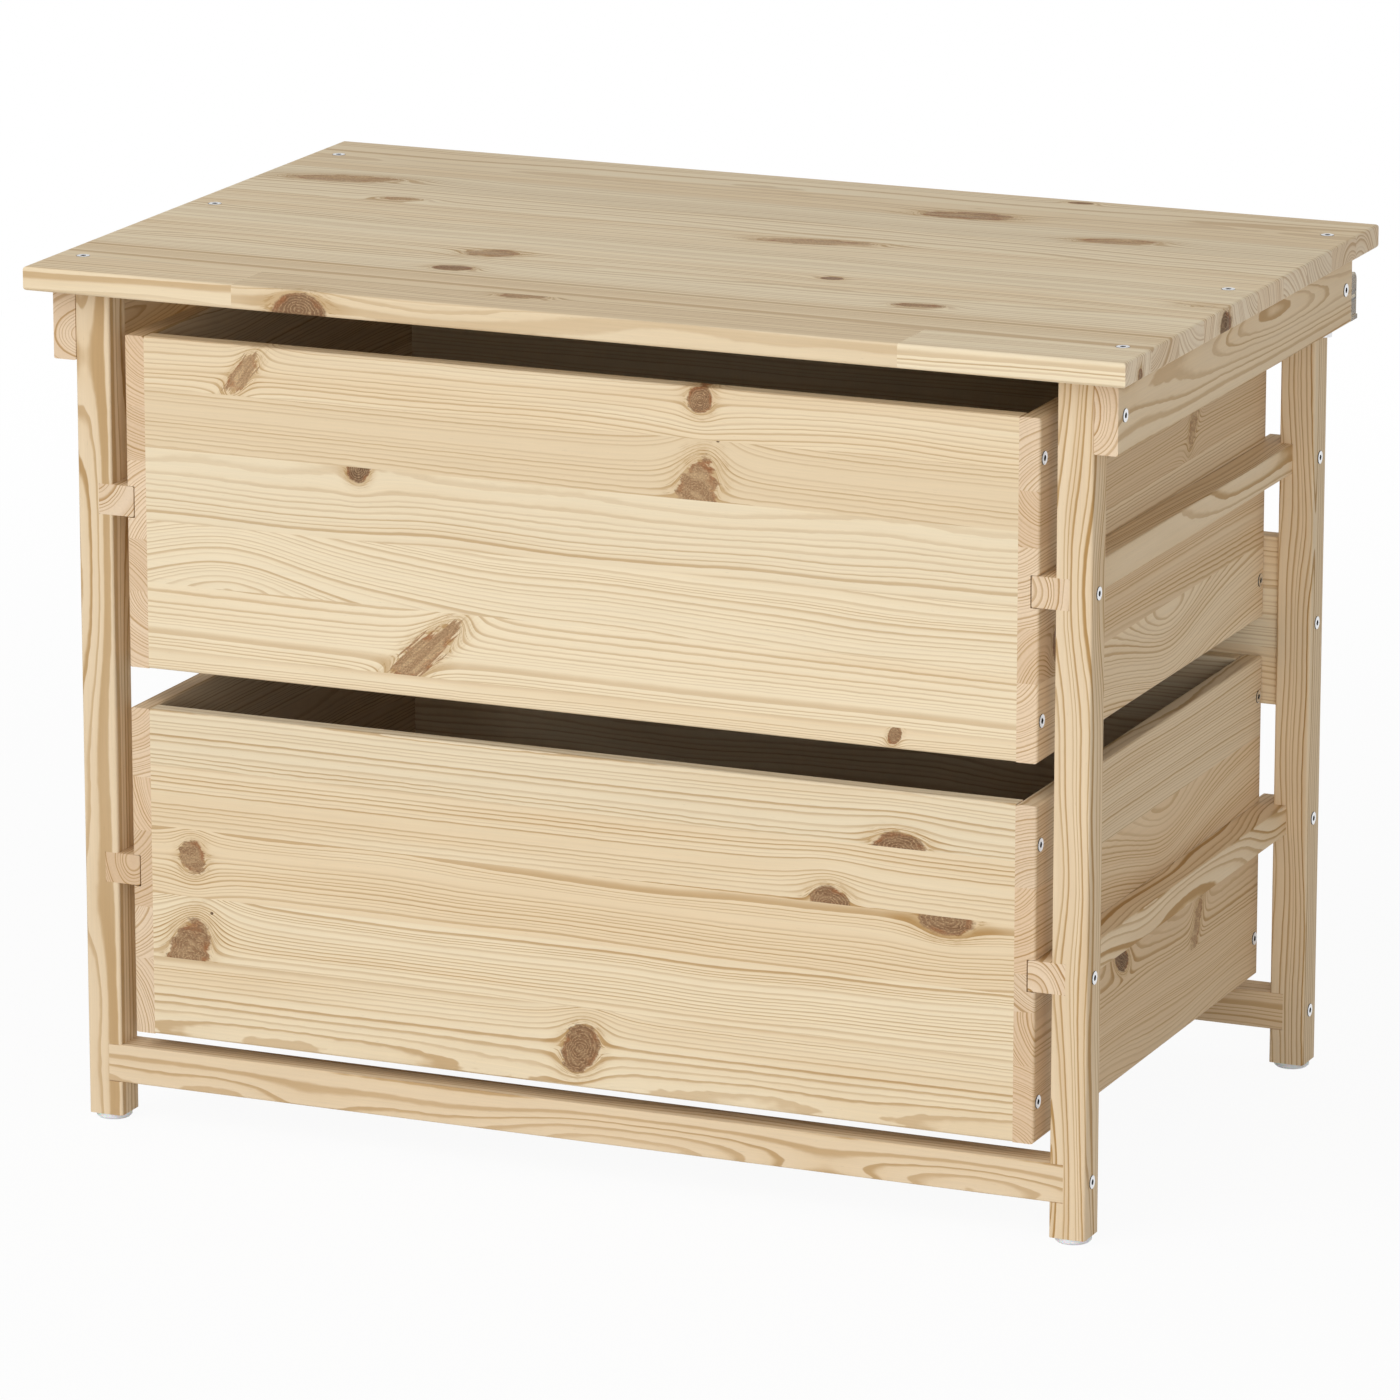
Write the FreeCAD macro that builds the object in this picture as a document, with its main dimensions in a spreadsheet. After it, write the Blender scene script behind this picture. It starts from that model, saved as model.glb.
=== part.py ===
import FreeCAD, Part
import math
import operator
import os
import Sketcher

Vector = FreeCAD.Vector
doc = FreeCAD.newDocument("two_drawer_chest")

# Driving dimensions in millimetres
SIZES = {
    "frame_width": 800,
    "frame_depth": 500,
    "post_size": 27.5,
    "post_height": 632.5,
    "post_ease": 1.8,
    "foot_height": 4.5,
    "foot_diameter": 27,
    "foot_chamfer": 1.6,
    "foot_stem": 7,
    "foot_stem_length": 14,
    "top_width": 862,
    "top_depth": 544,
    "top_thickness": 18,
    "top_ease": 2.5,
    "rail_thickness": 18,
    "rail_height": 54,
    "stick_ease": 1.2,
    "dado_depth": 10.5,
    "runner_width": 28.5,
    "runner_height": 23,
    "bottom_rail_height": 29,
    "bottom_rail_lift": 26.5,
    "drawer_width": 720,
    "drawer_height": 251,
    "drawer_depth": 477.5,
    "drawer_board": 16,
    "drawer_ease": 2.2,
    "drawer_lift": 68,
    "drawer_pitch": 282,
    "groove_depth": 6.5,
    "groove_play_above": 0.3,
    "groove_play_below": 0.7,
    "panel_thickness": 3,
    "panel_slot": 3.2,
    "panel_tongue": 5,
    "panel_play": 0.4,
    "panel_lift": 9,
    "back_board_height": 131,
    "back_board_thickness": 16,
    "back_board_lift": 281.5,
    "back_board_gap": 1,
    "screw_head": 10,
    "screw_shank": 5.5,
    "screw_rim": 0.6,
    "screw_play": 0.3,
    "screw_socket": 4,
    "screw_socket_depth": 2.4,
    "top_screw_length": 50,
    "top_screw_spacing": 218,
    "rail_screw_length": 42,
    "runner_screw_length": 40,
    "bottom_rail_screw_length": 50,
    "back_board_screw_length": 60,
    "drawer_screw_length": 50,
    "drawer_screw_inset": 30,
    "anchor_width": 17,
    "anchor_depth": 16,
    "anchor_height": 37,
    "anchor_base": 3.5,
    "anchor_step": 0.8,
    "anchor_round": 8,
    "anchor_recess": 9,
    "anchor_wall": 3,
    "anchor_screw_head": 6.6,
    "anchor_screw_head_height": 2.4,
    "anchor_screw_shank": 3.6,
    "anchor_screw_length": 26,
    "anchor_screw_lift": 16.5,
    "bolt_head": 10,
    "bolt_head_height": 5.5,
    "bolt_shank": 5,
    "bolt_length": 16,
}


class Size:
    """A length that keeps its value and the sheet expression that it comes from."""

    def __init__(self, text, value):
        self.text = text
        self.value = value

    def __add__(self, other):
        return combine(self, "+", other)

    def __radd__(self, other):
        return combine(other, "+", self)

    def __sub__(self, other):
        return combine(self, "-", other)

    def __rsub__(self, other):
        return combine(other, "-", self)

    def __mul__(self, other):
        return combine(self, "*", other)

    def __rmul__(self, other):
        return combine(other, "*", self)

    def __truediv__(self, other):
        return combine(self, "/", other)

    def __neg__(self):
        return combine(0, "-", self)


SIGNS = {"+": operator.add, "-": operator.sub, "*": operator.mul, "/": operator.truediv}


def as_size(item):
    return item if isinstance(item, Size) else Size(str(item), item)


def combine(left, sign, right):
    a, b = as_size(left), as_size(right)
    return Size(f"({a.text} {sign} {b.text})", SIGNS[sign](a.value, b.value))


def bind(item, path, size):
    """Lets the sheet drive one property of an object."""
    item.setExpression(path, as_size(size).text)


def make_sheet():
    """Writes the driving dimensions to a sheet and returns them as Sizes by name."""
    sheet = doc.addObject("Spreadsheet::Sheet", "Sizes")
    for row, (name, value) in enumerate(SIZES.items(), start=1):
        sheet.set(f"A{row}", name)
        sheet.set(f"B{row}", str(value))
        sheet.setAlias(f"B{row}", name)
    doc.recompute()
    return {name: Size(f"Sizes.{name}", value) for name, value in SIZES.items()}


d = make_sheet()
pieces = []

# Places that several pieces share
half_width = d["frame_width"] / 2
half_depth = d["frame_depth"] / 2
post_middle = d["post_size"] / 2
post_web = d["post_size"] - d["dado_depth"]
between_posts = d["frame_width"] - 2 * d["post_size"]
top_underside = d["foot_height"] + d["post_height"]
rail_bottom = top_underside - d["rail_height"]
rail_middle_x = half_width + d["rail_thickness"] / 2
screw_reach_y = half_depth - post_middle
bottom_rail_middle = d["bottom_rail_lift"] + d["bottom_rail_height"] / 2
back_board_middle = d["back_board_lift"] + d["back_board_height"] / 2
runner_middles = (
    d["drawer_lift"] + d["drawer_height"] / 2,
    d["drawer_lift"] + d["drawer_height"] / 2 + d["drawer_pitch"],
)
drawer_inside = d["drawer_width"] - 2 * d["drawer_board"]
screw_hole = d["screw_shank"] + d["screw_play"]
screw_seat = d["screw_head"] + d["screw_play"]
sunk_screw_seat = screw_seat + 2 * d["screw_rim"]


# Building steps
def new_piece(label):
    body = doc.addObject("PartDesign::Body", label)
    body.Label = label
    pieces.append(body)
    return body


def origin_item(body, role):
    return next(item for item in body.Origin.OriginFeatures if item.Role == role)


def sketch_on(body, role, shift=(0, 0, 0)):
    """A sketch on one of the body's own planes, moved along the sketch's axes."""
    sketch = body.newObject("Sketcher::SketchObject", "Sketch")
    sketch.AttachmentSupport = [(origin_item(body, role), "")]
    sketch.MapMode = "FlatFace"
    for axis, amount in zip("xyz", shift):
        bind(sketch, f"AttachmentOffset.Base.{axis}", amount)
    return sketch


def fix_point(sketch, line, end, x, y):
    """Ties one point of a sketch to its place."""
    for kind, axis, place in (("DistanceX", -2, as_size(x)), ("DistanceY", -1, as_size(y))):
        if place.value == 0:
            sketch.addConstraint(Sketcher.Constraint("PointOnObject", line, end, axis))
        elif place.value > 0:
            row = sketch.addConstraint(Sketcher.Constraint(kind, -1, 1, line, end, place.value))
            bind(sketch, f"Constraints[{row}]", place)
        else:
            row = sketch.addConstraint(Sketcher.Constraint(kind, line, end, -1, 1, -place.value))
            bind(sketch, f"Constraints[{row}]", -place)


def outline(sketch, corners):
    """A closed outline of straight lines through the corners."""
    spots = [Vector(as_size(x).value, as_size(y).value, 0) for x, y in corners]
    following = spots[1:] + spots[:1]
    for start, stop in zip(spots, following):
        sketch.addGeometry(Part.LineSegment(start, stop), False)
    for line, (x, y) in enumerate(corners):
        sketch.addConstraint(Sketcher.Constraint("Coincident", line, 1, (line - 1) % len(spots), 2))
        fix_point(sketch, line, 1, x, y)


def rectangle(sketch, left, low, right, high):
    outline(sketch, [(left, low), (right, low), (right, high), (left, high)])


# Fasteners and their holes are small and many, so they are drawn with flat sides, not round
SMALL_SIDES = 12
FOOT_SIDES = 32
SOCKET_SIDES = 6
COUNTERSINK = 45


def polygon(sketch, diameter, sides=SMALL_SIDES, middle=(0, 0)):
    """A regular polygon with its corners on a circle, the first one straight to the right."""
    x, y = (as_size(place) for place in middle)
    centre = Vector(x.value, y.value, 0)
    radius = as_size(diameter).value / 2
    circle = sketch.addGeometry(Part.Circle(centre, Vector(0, 0, 1), radius), True)
    fix_point(sketch, circle, 3, x, y)
    row = sketch.addConstraint(Sketcher.Constraint("Diameter", circle, 2 * radius))
    bind(sketch, f"Constraints[{row}]", diameter)
    turns = [2 * math.pi * side / sides for side in range(sides)]
    corners = [centre + Vector(math.cos(turn), math.sin(turn), 0) * radius for turn in turns]
    following = corners[1:] + corners[:1]
    lines = [
        sketch.addGeometry(Part.LineSegment(start, stop), False) for start, stop in zip(corners, following)
    ]
    rules = [Sketcher.Constraint("Horizontal", circle, 3, lines[0], 1)]
    for line, before in zip(lines, lines[-1:] + lines[:-1]):
        rules.append(Sketcher.Constraint("Coincident", line, 1, before, 2))
        rules.append(Sketcher.Constraint("PointOnObject", line, 1, circle))
    rules += [Sketcher.Constraint("Equal", lines[0], line) for line in lines[1:]]
    sketch.addConstraint(rules)


def pad(body, sketch, length, forward=True, taper=0):
    feature = body.newObject("PartDesign::Pad", "Pad")
    feature.Profile = sketch
    feature.Reversed = not forward
    feature.TaperAngle = -taper
    bind(feature, "Length", length)
    doc.recompute()


def pocket(body, sketch, depth, forward=False, taper=0):
    """Cuts a sketch into the body, against the sketch's normal unless forward."""
    before = body.Shape.Volume
    feature = body.newObject("PartDesign::Pocket", "Pocket")
    feature.Profile = sketch
    feature.Reversed = forward
    feature.TaperAngle = -taper
    bind(feature, "Length", depth)
    doc.recompute()
    if body.Shape.Volume >= before:
        raise RuntimeError(f"{body.Label}: a pocket cut nothing")


def drill(body, role, shift, centres, size, depth, seat=None, forward=False):
    """Drills flat-bottomed holes, countersunk to the seat's diameter where one is given."""
    bore = sketch_on(body, role, shift)
    for middle in centres:
        polygon(bore, size, middle=middle)
    pocket(body, bore, depth, forward)
    if seat is not None:
        sink = sketch_on(body, role, shift)
        for middle in centres:
            polygon(sink, seat, middle=middle)
        pocket(body, sink, (seat - size) / 2, forward, COUNTERSINK)


def ease(body, radius, chosen):
    """Rounds the edges that the chooser accepts."""
    last = body.Tip
    names = [f"Edge{i}" for i, edge in enumerate(last.Shape.Edges, start=1) if chosen(edge)]
    feature = body.newObject("PartDesign::Fillet", "Fillet")
    feature.Base = (last, names)
    bind(feature, "Radius", radius)
    doc.recompute()


def runs_along(edge, axis):
    """True for a straight edge that runs along one axis."""
    step = edge.Vertexes[-1].Point - edge.Vertexes[0].Point
    return step.Length > 0 and abs(abs(getattr(step, axis)) - step.Length) < 1e-6


def lies_at(edge, axis, size):
    """True for an edge that lies in a plane square to one axis."""
    box = edge.BoundBox
    low, high = getattr(box, f"{axis.upper()}Min"), getattr(box, f"{axis.upper()}Max")
    return abs(low - size.value) < 1e-4 and abs(high - size.value) < 1e-4


def place(body, x, y, z, turn=FreeCAD.Rotation()):
    body.Placement = FreeCAD.Placement(Vector(0, 0, 0), turn)
    for axis, amount in zip("xyz", (x, y, z)):
        bind(body, f"Placement.Base.{axis}", amount)
    doc.recompute()


HALF_TURN = FreeCAD.Rotation(Vector(0, 0, 1), 180)
SIDES = {"left": -1, "right": 1}


def place_on_side(body, side, x, y, z, depth):
    """Places a piece that is drawn for the right side, or turns it round for the left."""
    if SIDES[side] > 0:
        place(body, x, y, z)
    else:
        place(body, -x, y + depth, z, HALF_TURN)


# Top panel
def make_top_panel():
    body = new_piece("top_panel")
    half_x, half_y, top = d["top_width"] / 2, d["top_depth"] / 2, d["top_thickness"]
    sketch = sketch_on(body, "XY_Plane")
    rectangle(sketch, -half_x, -half_y, half_x, half_y)
    pad(body, sketch, top)
    ease(body, d["top_ease"], lambda edge: lies_at(edge, "z", as_size(0)) or lies_at(edge, "z", top))
    step = d["top_screw_spacing"]
    centres = [(x, y) for x in (-rail_middle_x, rail_middle_x) for y in (-step, as_size(0), step)]
    drill(body, "XY_Plane", (0, 0, top), centres, screw_hole, top, sunk_screw_seat)
    place(body, 0, 0, top_underside)


# Posts, each one elevation with its dadoes, carried through the post's depth
def make_post(row, side):
    body = new_piece(f"{row}_{side}_post")
    size, dado = d["post_size"], d["dado_depth"]
    notches = [
        (middle - d["runner_height"] / 2, middle + d["runner_height"] / 2) for middle in runner_middles[::-1]
    ]
    notches.append((d["bottom_rail_lift"], d["bottom_rail_lift"] + d["bottom_rail_height"]))
    corners = [(0, 0), (size, 0), (size, d["post_height"]), (0, d["post_height"])]
    for low, high in notches:
        corners += [(0, high), (dado, high), (dado, low), (0, low)]
    sketch = sketch_on(body, "XZ_Plane")
    outline(sketch, corners)
    pad(body, sketch, size, forward=False)
    ease(body, d["post_ease"], lambda edge: runs_along(edge, "z") and not lies_at(edge, "x", dado))
    outer = (0, 0, size)
    seats = [(post_middle, middle) for middle in (*runner_middles, bottom_rail_middle)]
    if row == "back":
        seats.append((post_middle, back_board_middle))
    drill(body, "YZ_Plane", outer, seats, screw_hole, size, screw_seat)
    rail_screw = (post_middle, d["post_height"] - d["rail_height"] / 2)
    rail_bite = d["rail_screw_length"] - d["rail_thickness"]
    drill(body, "YZ_Plane", outer, [rail_screw], screw_hole, rail_bite)
    stem_hole = d["foot_stem"] + d["screw_play"]
    middle = [(post_middle, post_middle)]
    drill(body, "XY_Plane", (0, 0, 0), middle, stem_hole, d["foot_stem_length"], forward=True)
    front = -half_depth if row == "front" else half_depth - size
    place_on_side(body, side, half_width - size, front, d["foot_height"], size)


# Glides under the posts, with a stem up into the post
def make_foot(row, side):
    body = new_piece(f"{row}_{side}_foot")
    height, chamfer = d["foot_height"], d["foot_chamfer"]
    rim = sketch_on(body, "XY_Plane", (0, 0, chamfer))
    polygon(rim, d["foot_diameter"], FOOT_SIDES)
    pad(body, rim, height - chamfer)
    pad(body, rim, chamfer, forward=False, taper=COUNTERSINK)
    stem = sketch_on(body, "XY_Plane", (0, 0, height))
    polygon(stem, d["foot_stem"])
    pad(body, stem, d["foot_stem_length"])
    reach_x, reach_y = half_width - post_middle, half_depth - post_middle
    place(body, SIDES[side] * reach_x, -reach_y if row == "front" else reach_y, 0)


# Side rails outside the posts
def make_side_rail(side):
    body = new_piece(f"{side}_side_rail")
    length, height, thick = d["frame_depth"], d["rail_height"], d["rail_thickness"]
    sketch = sketch_on(body, "YZ_Plane")
    rectangle(sketch, 0, 0, length, height)
    pad(body, sketch, thick)
    ease(body, d["stick_ease"], lambda edge: runs_along(edge, "y"))
    seats = [(post_middle, height / 2), (length - post_middle, height / 2)]
    drill(body, "YZ_Plane", (0, 0, thick), seats, screw_hole, thick, screw_seat)
    step = d["top_screw_spacing"]
    bites = [(thick / 2, length / 2 + shift) for shift in (-step, 0, step)]
    top_bite = d["top_screw_length"] - d["top_thickness"]
    drill(body, "XY_Plane", (0, 0, height), bites, screw_hole, top_bite)
    rear_of_left, rear_of_right = as_size(0), length
    rear = rear_of_right if SIDES[side] > 0 else rear_of_left
    anchor_hole = d["anchor_screw_shank"] + d["screw_play"]
    anchor_bite = d["anchor_screw_length"] - d["anchor_wall"]
    spot = [(thick / 2, d["anchor_screw_lift"])]
    drill(body, "XZ_Plane", (0, 0, -rear), spot, anchor_hole, anchor_bite, forward=SIDES[side] > 0)
    bolt_hole = d["bolt_shank"] + d["screw_play"]
    bolt_y = length / 2 + SIDES[side] * step
    drill(body, "XY_Plane", (0, 0, 0), [(thick / 2, bolt_y)], bolt_hole, d["bolt_length"], forward=True)
    place_on_side(body, side, half_width, -half_depth, rail_bottom, length)


# Drawer runners let into the posts' dadoes
def make_runner(level, side):
    body = new_piece(f"{level}_{side}_runner")
    width, height, length = d["runner_width"], d["runner_height"], d["frame_depth"]
    sketch = sketch_on(body, "XZ_Plane")
    rectangle(sketch, 0, 0, width, height)
    pad(body, sketch, length, forward=False)
    ease(body, d["stick_ease"], lambda edge: runs_along(edge, "y"))
    spots = [(post_middle, height / 2), (length - post_middle, height / 2)]
    bite = d["runner_screw_length"] - post_web
    drill(body, "YZ_Plane", (0, 0, width), spots, screw_hole, bite)
    low = d["foot_height"] + runner_middles[level == "upper"] - height / 2
    place_on_side(body, side, half_width - post_web - width, -half_depth, low, length)


# Boards that cross the chest between the two sides
def make_cross_board(label, length, depth, height, ease_radius, eased):
    body = new_piece(label)
    sketch = sketch_on(body, "XZ_Plane")
    rectangle(sketch, 0, 0, length, height)
    pad(body, sketch, depth, forward=False)
    ease(body, ease_radius, lambda edge: runs_along(edge, "x") and eased(edge))
    return body


def drill_both_ends(body, length, spots, bite):
    drill(body, "YZ_Plane", (0, 0, length), spots, screw_hole, bite)
    drill(body, "YZ_Plane", (0, 0, 0), spots, screw_hole, bite, forward=True)


def make_bottom_rail(row):
    length, size, height = d["frame_width"] - 2 * post_web, d["post_size"], d["bottom_rail_height"]
    body = make_cross_board(f"{row}_bottom_rail", length, size, height, d["stick_ease"], lambda edge: True)
    bite = d["bottom_rail_screw_length"] - post_web
    drill_both_ends(body, length, [(post_middle, height / 2)], bite)
    front = -half_depth if row == "front" else half_depth - size
    place(body, -length / 2, front, d["foot_height"] + d["bottom_rail_lift"])


def make_back_board():
    length, thick, height = between_posts, d["back_board_thickness"], d["back_board_height"]
    body = make_cross_board("back_board", length, thick, height, d["stick_ease"], lambda edge: True)
    front = d["drawer_depth"] - half_depth + d["back_board_gap"]
    bite = d["back_board_screw_length"] - d["post_size"]
    drill_both_ends(body, length, [(screw_reach_y - front, height / 2)], bite)
    place(body, -length / 2, front, d["foot_height"] + d["back_board_lift"])


# Drawer pieces
def make_drawer_side(level, side, low):
    body = new_piece(f"{level}_drawer_{side}_side")
    thick, length, height = d["drawer_board"], d["drawer_depth"], d["drawer_height"]
    sketch = sketch_on(body, "YZ_Plane")
    rectangle(sketch, 0, 0, length, height)
    pad(body, sketch, thick)
    top = height
    ease(
        body, d["drawer_ease"],
        lambda edge: lies_at(edge, "x", thick) or lies_at(edge, "z", top) and runs_along(edge, "y"),
    )
    runner_low = (height - d["runner_height"]) / 2
    groove = sketch_on(body, "YZ_Plane", (0, 0, thick))
    lower, upper = runner_low - d["groove_play_below"], height - runner_low + d["groove_play_above"]
    rectangle(groove, 0, lower, length, upper)
    pocket(body, groove, d["groove_depth"])
    slot = sketch_on(body, "YZ_Plane")
    stop = d["drawer_board"] - d["panel_tongue"]
    rectangle(slot, stop, d["panel_lift"], length - stop, d["panel_lift"] + d["panel_slot"])
    pocket(body, slot, d["panel_tongue"], forward=True)
    inset = d["drawer_screw_inset"]
    seats = [(y, z) for y in (thick / 2, length - thick / 2) for z in (inset, height - inset)]
    drill(body, "YZ_Plane", (0, 0, thick), seats, screw_hole, thick, screw_seat)
    place_on_side(body, side, d["drawer_width"] / 2 - thick, -half_depth, low, length)


def make_drawer_end(level, row, low):
    """The drawer's front or back, with the panel's slot on its inner face."""
    length, thick, height = drawer_inside, d["drawer_board"], d["drawer_height"]
    label = f"{level}_drawer_{row}"
    outer = as_size(0) if row == "front" else thick
    body = make_cross_board(
        label, length, thick, height, d["drawer_ease"],
        lambda edge: lies_at(edge, "z", height) or lies_at(edge, "y", outer),
    )
    inner = thick if row == "front" else as_size(0)
    slot = sketch_on(body, "XZ_Plane", (0, 0, -inner))
    rectangle(slot, 0, d["panel_lift"], length, d["panel_lift"] + d["panel_slot"])
    pocket(body, slot, d["panel_tongue"], forward=row == "front")
    inset = d["drawer_screw_inset"]
    bite = d["drawer_screw_length"] - thick
    drill_both_ends(body, length, [(thick / 2, inset), (thick / 2, height - inset)], bite)
    front = -half_depth if row == "front" else d["drawer_depth"] - half_depth - thick
    place(body, -length / 2, front, low)


def make_drawer_bottom(level, low):
    body = new_piece(f"{level}_drawer_bottom")
    tongue = d["panel_tongue"] - d["panel_play"]
    length = drawer_inside + 2 * tongue
    width = d["drawer_depth"] - 2 * d["drawer_board"] + 2 * tongue
    sketch = sketch_on(body, "XY_Plane")
    rectangle(sketch, 0, 0, length, width)
    pad(body, sketch, d["panel_thickness"])
    front = d["drawer_board"] - tongue - half_depth
    place(body, -length / 2, front, low + d["panel_lift"])


# Screws, one drawn along the body's Z axis and then repeated
SIDEWAYS = FreeCAD.Rotation(Vector(1, 1, 1), 120)
HEXAGON_CORNERS = 2 * 3 ** -0.5


def make_screws(label, head, tip, rows=(), mirror=None, turn=FreeCAD.Rotation()):
    """A group of countersunk screws with hexagon sockets. head is the first crown's place."""
    body = new_piece(label)
    x, y, crown = head
    rim = crown - d["screw_rim"]
    edge = sketch_on(body, "XY_Plane", (x, y, rim))
    polygon(edge, d["screw_head"])
    pad(body, edge, d["screw_rim"])
    pad(body, edge, (d["screw_head"] - d["screw_shank"]) / 2, forward=False, taper=COUNTERSINK)
    shank = sketch_on(body, "XY_Plane", (x, y, rim))
    polygon(shank, d["screw_shank"])
    pad(body, shank, rim - tip, forward=False)
    socket = sketch_on(body, "XY_Plane", (x, y, crown))
    polygon(socket, d["screw_socket"] * HEXAGON_CORNERS, SOCKET_SIDES)
    pocket(body, socket, d["screw_socket_depth"])
    repeat(body, rows, mirror)
    place(body, 0, 0, 0, turn)


def repeat(body, rows, mirror):
    """Repeats the whole body along rows of (axis, spacing, count), then across a plane."""
    for axis, spacing, count in rows:
        row = body.newObject("PartDesign::LinearPattern", "Row")
        row.TransformMode = "Whole shape"
        row.Mode = "Spacing"
        row.Direction = (origin_item(body, axis), [""])
        row.Occurrences = count
        bind(row, "Offset", spacing)
        body.Tip = row
        doc.recompute()
    if mirror:
        pair = body.newObject("PartDesign::Mirrored", "Pair")
        pair.TransformMode = "Whole shape"
        pair.MirrorPlane = (origin_item(body, mirror), [""])
        body.Tip = pair
        doc.recompute()


def make_side_screws(label, face, length, first, rows=()):
    """Screws driven inward through an upright face, on both sides of the chest."""
    y, z = first
    head = (y, z, face + d["screw_rim"])
    make_screws(label, head, face - length, rows, "XY_Plane", SIDEWAYS)


def make_frame_screws():
    step = d["top_screw_spacing"]
    crown = top_underside + d["top_thickness"]
    first = (rail_middle_x, -step, crown)
    make_screws("top_screws", first, crown - d["top_screw_length"], [("Y_Axis", step, 3)], "YZ_Plane")
    depth_row = ("X_Axis", 2 * screw_reach_y, 2)
    height_row = ("Y_Axis", d["drawer_pitch"], 2)
    rail_z = rail_bottom + d["rail_height"] / 2
    rail_face = half_width + d["rail_thickness"]
    front = -screw_reach_y
    make_side_screws("side_rail_screws", rail_face, d["rail_screw_length"], (front, rail_z), [depth_row])
    runner_z = d["foot_height"] + runner_middles[0]
    runner_rows = [depth_row, height_row]
    make_side_screws("runner_screws", half_width, d["runner_screw_length"], (front, runner_z), runner_rows)
    bottom_z = d["foot_height"] + bottom_rail_middle
    bottom_length = d["bottom_rail_screw_length"]
    make_side_screws("bottom_rail_screws", half_width, bottom_length, (front, bottom_z), [depth_row])
    board_z = d["foot_height"] + back_board_middle
    make_side_screws("back_board_screws", half_width, d["back_board_screw_length"], (screw_reach_y, board_z))


def make_drawer_screws(level, low):
    inset, thick = d["drawer_screw_inset"], d["drawer_board"]
    rows = [
        ("X_Axis", d["drawer_depth"] - thick, 2),
        ("Y_Axis", d["drawer_height"] - 2 * inset, 2),
    ]
    first = (thick / 2 - half_depth, low + inset)
    face = d["drawer_width"] / 2
    make_side_screws(f"{level}_drawer_screws", face, d["drawer_screw_length"], first, rows)


# Clear anchors on the rear ends of the side rails, with their fasteners
def make_wall_anchor(side):
    body = new_piece(f"{side}_wall_anchor")
    width, depth, height, inset = d["anchor_width"], d["anchor_depth"], d["anchor_height"], d["anchor_step"]
    base = sketch_on(body, "XY_Plane")
    rectangle(base, -width / 2, 0, width / 2, depth)
    pad(body, base, d["anchor_base"])
    rise = sketch_on(body, "YZ_Plane", (0, 0, inset - width / 2))
    rectangle(rise, 0, 0, depth - inset, height)
    pad(body, rise, width - 2 * inset)
    ease(
        body, d["anchor_round"],
        lambda edge: lies_at(edge, "z", height) and lies_at(edge, "y", depth - inset),
    )
    lift = d["anchor_screw_lift"]
    hole = d["anchor_screw_shank"] + d["screw_play"]
    drill(body, "XZ_Plane", (0, 0, 0), [(0, lift)], hole, depth)
    drill(body, "XZ_Plane", (0, 0, -d["anchor_wall"]), [(0, lift)], d["anchor_recess"], depth)
    place(body, SIDES[side] * rail_middle_x, half_depth, rail_bottom)


def make_plain_screws(label, head, head_height, shank, reach, place_at, turn):
    """A pair of round-headed screws. The head's seat is at place_at, and the shank runs down Z."""
    body = new_piece(label)
    crown = sketch_on(body, "XY_Plane", place_at)
    polygon(crown, head)
    pad(body, crown, head_height)
    core = sketch_on(body, "XY_Plane", place_at)
    polygon(core, shank)
    pad(body, core, reach, forward=False)
    repeat(body, (), "YZ_Plane")
    place(body, 0, 0, 0, turn)


def make_anchor_fasteners():
    rearward = FreeCAD.Rotation(Vector(1, 0, 0), -90)
    seat = half_depth + d["anchor_wall"]
    screw_z = rail_bottom + d["anchor_screw_lift"]
    make_plain_screws(
        "anchor_screws", d["anchor_screw_head"], d["anchor_screw_head_height"],
        d["anchor_screw_shank"], d["anchor_screw_length"], (rail_middle_x, -screw_z, seat), rearward,
    )
    downward = FreeCAD.Rotation(Vector(1, 0, 0), 180)
    make_plain_screws(
        "rail_bolts", d["bolt_head"], d["bolt_head_height"], d["bolt_shank"], d["bolt_length"],
        (rail_middle_x, -d["top_screw_spacing"], -rail_bottom), downward,
    )


def make_frame():
    make_top_panel()
    for row in ("front", "back"):
        for side in SIDES:
            make_post(row, side)
            make_foot(row, side)
        make_bottom_rail(row)
    for side in SIDES:
        make_side_rail(side)
        make_wall_anchor(side)
        for level in ("lower", "upper"):
            make_runner(level, side)
    make_back_board()
    make_frame_screws()
    make_anchor_fasteners()


def make_drawer(level, low):
    for row in ("front", "back"):
        make_drawer_end(level, row, low)
    for side in SIDES:
        make_drawer_side(level, side, low)
    make_drawer_bottom(level, low)
    make_drawer_screws(level, low)


def write_pieces():
    """Checks every object and writes each piece to its own file."""
    doc.recompute()
    for item in doc.Objects:
        if "Invalid" in item.State or "Error" in item.State:
            raise RuntimeError(f"{item.Label} failed: {item.State}")
    for body in pieces:
        if body.Shape.isNull() or not body.Shape.isValid():
            raise RuntimeError(f"{body.Label} has no valid shape")
    os.makedirs("parts", exist_ok=True)
    for body in pieces:
        body.Shape.exportStep(f"parts/{body.Label}.step")
        print(body.Label, len(body.Shape.Solids), round(body.Shape.Volume))


make_frame()
lower_drawer_bottom = d["foot_height"] + d["drawer_lift"]
make_drawer("lower", lower_drawer_bottom)
make_drawer("upper", lower_drawer_bottom + d["drawer_pitch"])
write_pieces()
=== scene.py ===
import functools
import math
from collections import namedtuple

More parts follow.
